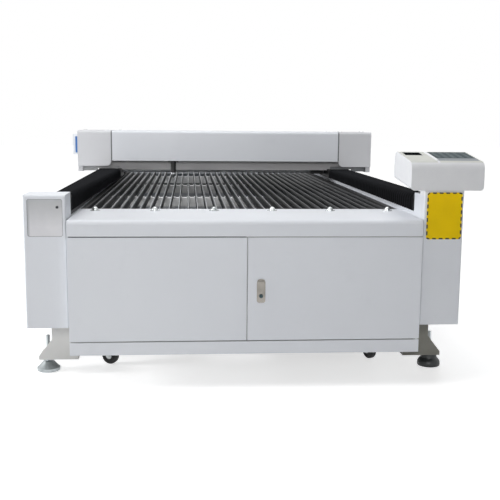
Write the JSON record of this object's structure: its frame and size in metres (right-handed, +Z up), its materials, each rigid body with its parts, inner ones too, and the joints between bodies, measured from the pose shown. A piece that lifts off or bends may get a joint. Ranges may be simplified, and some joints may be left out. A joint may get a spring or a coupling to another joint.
{
  "type": "flatbed laser cutting machine",
  "caption": "Flatbed laser cutter: slatted bed, gantry on bellows-covered rails, cutting head, console on a column, hinged front door, levelling feet and casters.",
  "frame": {"origin": "on the floor under the middle of the machine's bounding box", "axes": "+X to the operator's right, +Y from the operator's side to the rear, +Z up"},
  "size_m": [1.822, 3.57, 0.985],
  "materials": {
    "white_paint": "semi-gloss powder coat",
    "grey_paint": "semi-gloss paint",
    "black_paint": "satin paint",
    "bellows_cloth": "coated pleated cloth",
    "slat_metal": "plain, lightly dulled",
    "rail_steel": "ground",
    "zinc_plate": "zinc plated",
    "lock_dark": "matt",
    "display_glass": "gloss",
    "keypad_film": "matt film",
    "belt_rubber": "matt",
    "wheel_rubber": "matt"
  },
  "bodies": {
    "cabinet": {"base_frame": "grey_paint", "slat_beams": "white_paint", "slats": "slat_metal", "debris_tray": "black_paint", "front_apron": "white_paint", "rear_apron": "white_paint", "apron_bolts": "zinc_plate", "front_plinth": "white_paint", "left_front_panel": "white_paint", "left_column": "white_paint", "right_column": "white_paint", "side_casings": "white_paint", "rear_panel": "white_paint", "leg_brackets": "grey_paint", "levelling_feet": "zinc_plate", "caster_plates": "zinc_plate", "rail_bases": "white_paint", "y_rails": "rail_steel", "y_racks": "rail_steel", "front_bellows_left": "bellows_cloth", "front_bellows_right": "bellows_cloth", "rear_bellows_left": "bellows_cloth", "rear_bellows_right": "bellows_cloth", "console_shell": "white_paint", "console_display": "display_glass", "console_keypad": "keypad_film", "console_bracket": "white_paint", "door_pivots": "zinc_plate", "laser_source": "black_paint", "control_unit": "grey_paint"},
    "door": {"front_door": "white_paint", "latch_housing": "zinc_plate"},
    "paddle": {"latch_paddle": "zinc_plate"},
    "button": {"latch_button": "lock_dark"},
    "tongue": {"latch_tongue": "zinc_plate"},
    "gantry": {"gantry_beam": "grey_paint", "gantry_trucks": "black_paint", "rail_blocks": "rail_steel", "middle_cover": "white_paint", "left_end_cover": "white_paint", "right_end_cover": "white_paint", "x_rail": "rail_steel", "x_belt": "belt_rubber", "x_motor": "black_paint", "service_box": "white_paint", "y_drive_unit": "black_paint"},
    "y_shaft": {"y_drive_shaft": "rail_steel"},
    "carriage": {"head_carriage": "black_paint"},
    "lens": {"lens_tube": "black_paint", "nozzle": "rail_steel"},
    "x_drive": {"x_drive_pulley": "rail_steel"},
    "x_idler": {"x_idler_pulley": "rail_steel"},
    "caster_front_left": {"caster_fork_front_left": "zinc_plate"},
    "wheel_front_left": {"caster_wheel_front_left": "wheel_rubber"},
    "caster_front_right": {"caster_fork_front_right": "zinc_plate"},
    "wheel_front_right": {"caster_wheel_front_right": "wheel_rubber"},
    "caster_rear_left": {"caster_fork_rear_left": "zinc_plate"},
    "wheel_rear_left": {"caster_wheel_rear_left": "wheel_rubber"},
    "caster_rear_right": {"caster_fork_rear_right": "zinc_plate"},
    "wheel_rear_right": {"caster_wheel_rear_right": "wheel_rubber"}
  },
  "joints": [
    {"name": "door_swing", "type": "hinge", "parent": "cabinet", "child": "door", "pos_m": [0.678, -1.746, 0.4], "axis": [0, 0, 1], "range_deg": [0, 100]},
    {"name": "paddle_lift", "type": "hinge", "parent": "door", "child": "paddle", "pos_m": [0.054, -1.754, 0.4265], "axis": [-1, 0, 0], "range_deg": [0, 45], "stiffness_Nm_per_rad": 0.3},
    {"name": "button_press", "type": "slide", "parent": "door", "child": "button", "axis": [0, 1, 0], "range_m": [0, 0.003], "stiffness_N_per_m": 300},
    {"name": "tongue_throw", "type": "slide", "parent": "door", "child": "tongue", "axis": [-1, 0, 0], "range_m": [0, 0.02]},
    {"name": "gantry_travel", "type": "slide", "parent": "cabinet", "child": "gantry", "axis": [0, 1, 0], "range_m": [-1.35, 1], "deforming": ["front_bellows_left", "front_bellows_right", "rear_bellows_left", "rear_bellows_right"]},
    {"name": "y_shaft_turn", "type": "hinge", "parent": "gantry", "child": "y_shaft", "pos_m": [0, 0.35, 0.732], "axis": [1, 0, 0], "range_deg": [-1800, 2430]},
    {"name": "head_travel", "type": "slide", "parent": "gantry", "child": "carriage", "axis": [1, 0, 0], "range_m": [-0.295, 0.925]},
    {"name": "focus_slide", "type": "slide", "parent": "carriage", "child": "lens", "axis": [0, 0, 1], "range_m": [-0.02, 0.02]},
    {"name": "x_drive_turn", "type": "hinge", "parent": "gantry", "child": "x_drive", "pos_m": [0.7, 0.182, 0.884], "axis": [0, 1, 0], "range_deg": [-3790, 1215]},
    {"name": "x_idler_turn", "type": "hinge", "parent": "gantry", "child": "x_idler", "pos_m": [-0.7, 0.182, 0.884], "axis": [0, 1, 0], "range_deg": [-3790, 1215]},
    {"name": "swivel_front_left", "type": "hinge", "parent": "cabinet", "child": "caster_front_left", "pos_m": [-0.59, -1.39, 0.09], "axis": [0, 0, 1], "continuous": true},
    {"name": "roll_front_left", "type": "hinge", "parent": "caster_front_left", "child": "wheel_front_left", "pos_m": [-0.56463, -1.39923, 0.039], "axis": [0.342, 0.9397, 0], "continuous": true},
    {"name": "swivel_front_right", "type": "hinge", "parent": "cabinet", "child": "caster_front_right", "pos_m": [0.59, -1.39, 0.09], "axis": [0, 0, 1], "continuous": true},
    {"name": "roll_front_right", "type": "hinge", "parent": "caster_front_right", "child": "wheel_front_right", "pos_m": [0.57732, -1.36616, 0.039], "axis": [-0.8829, -0.4695, 0], "continuous": true},
    {"name": "swivel_rear_left", "type": "hinge", "parent": "cabinet", "child": "caster_rear_left", "pos_m": [-0.59, 1.38, 0.09], "axis": [0, 0, 1], "continuous": true},
    {"name": "roll_rear_left", "type": "hinge", "parent": "caster_rear_left", "child": "wheel_rear_left", "pos_m": [-0.56788, 1.39549, 0.039], "axis": [-0.5736, 0.8192, 0], "continuous": true},
    {"name": "swivel_rear_right", "type": "hinge", "parent": "cabinet", "child": "caster_rear_right", "pos_m": [0.59, 1.38, 0.09], "axis": [0, 0, 1], "continuous": true},
    {"name": "roll_rear_right", "type": "hinge", "parent": "caster_rear_right", "child": "wheel_rear_right", "pos_m": [0.56463, 1.38923, 0.039], "axis": [-0.342, -0.9397, 0], "continuous": true}
  ],
  "couplings": [
    {"joint": "y_shaft_turn", "follows": "gantry_travel", "rad_per_m": -31.25},
    {"joint": "x_drive_turn", "follows": "head_travel", "rad_per_m": -71.429},
    {"joint": "x_idler_turn", "follows": "head_travel", "rad_per_m": -71.429}
  ]
}
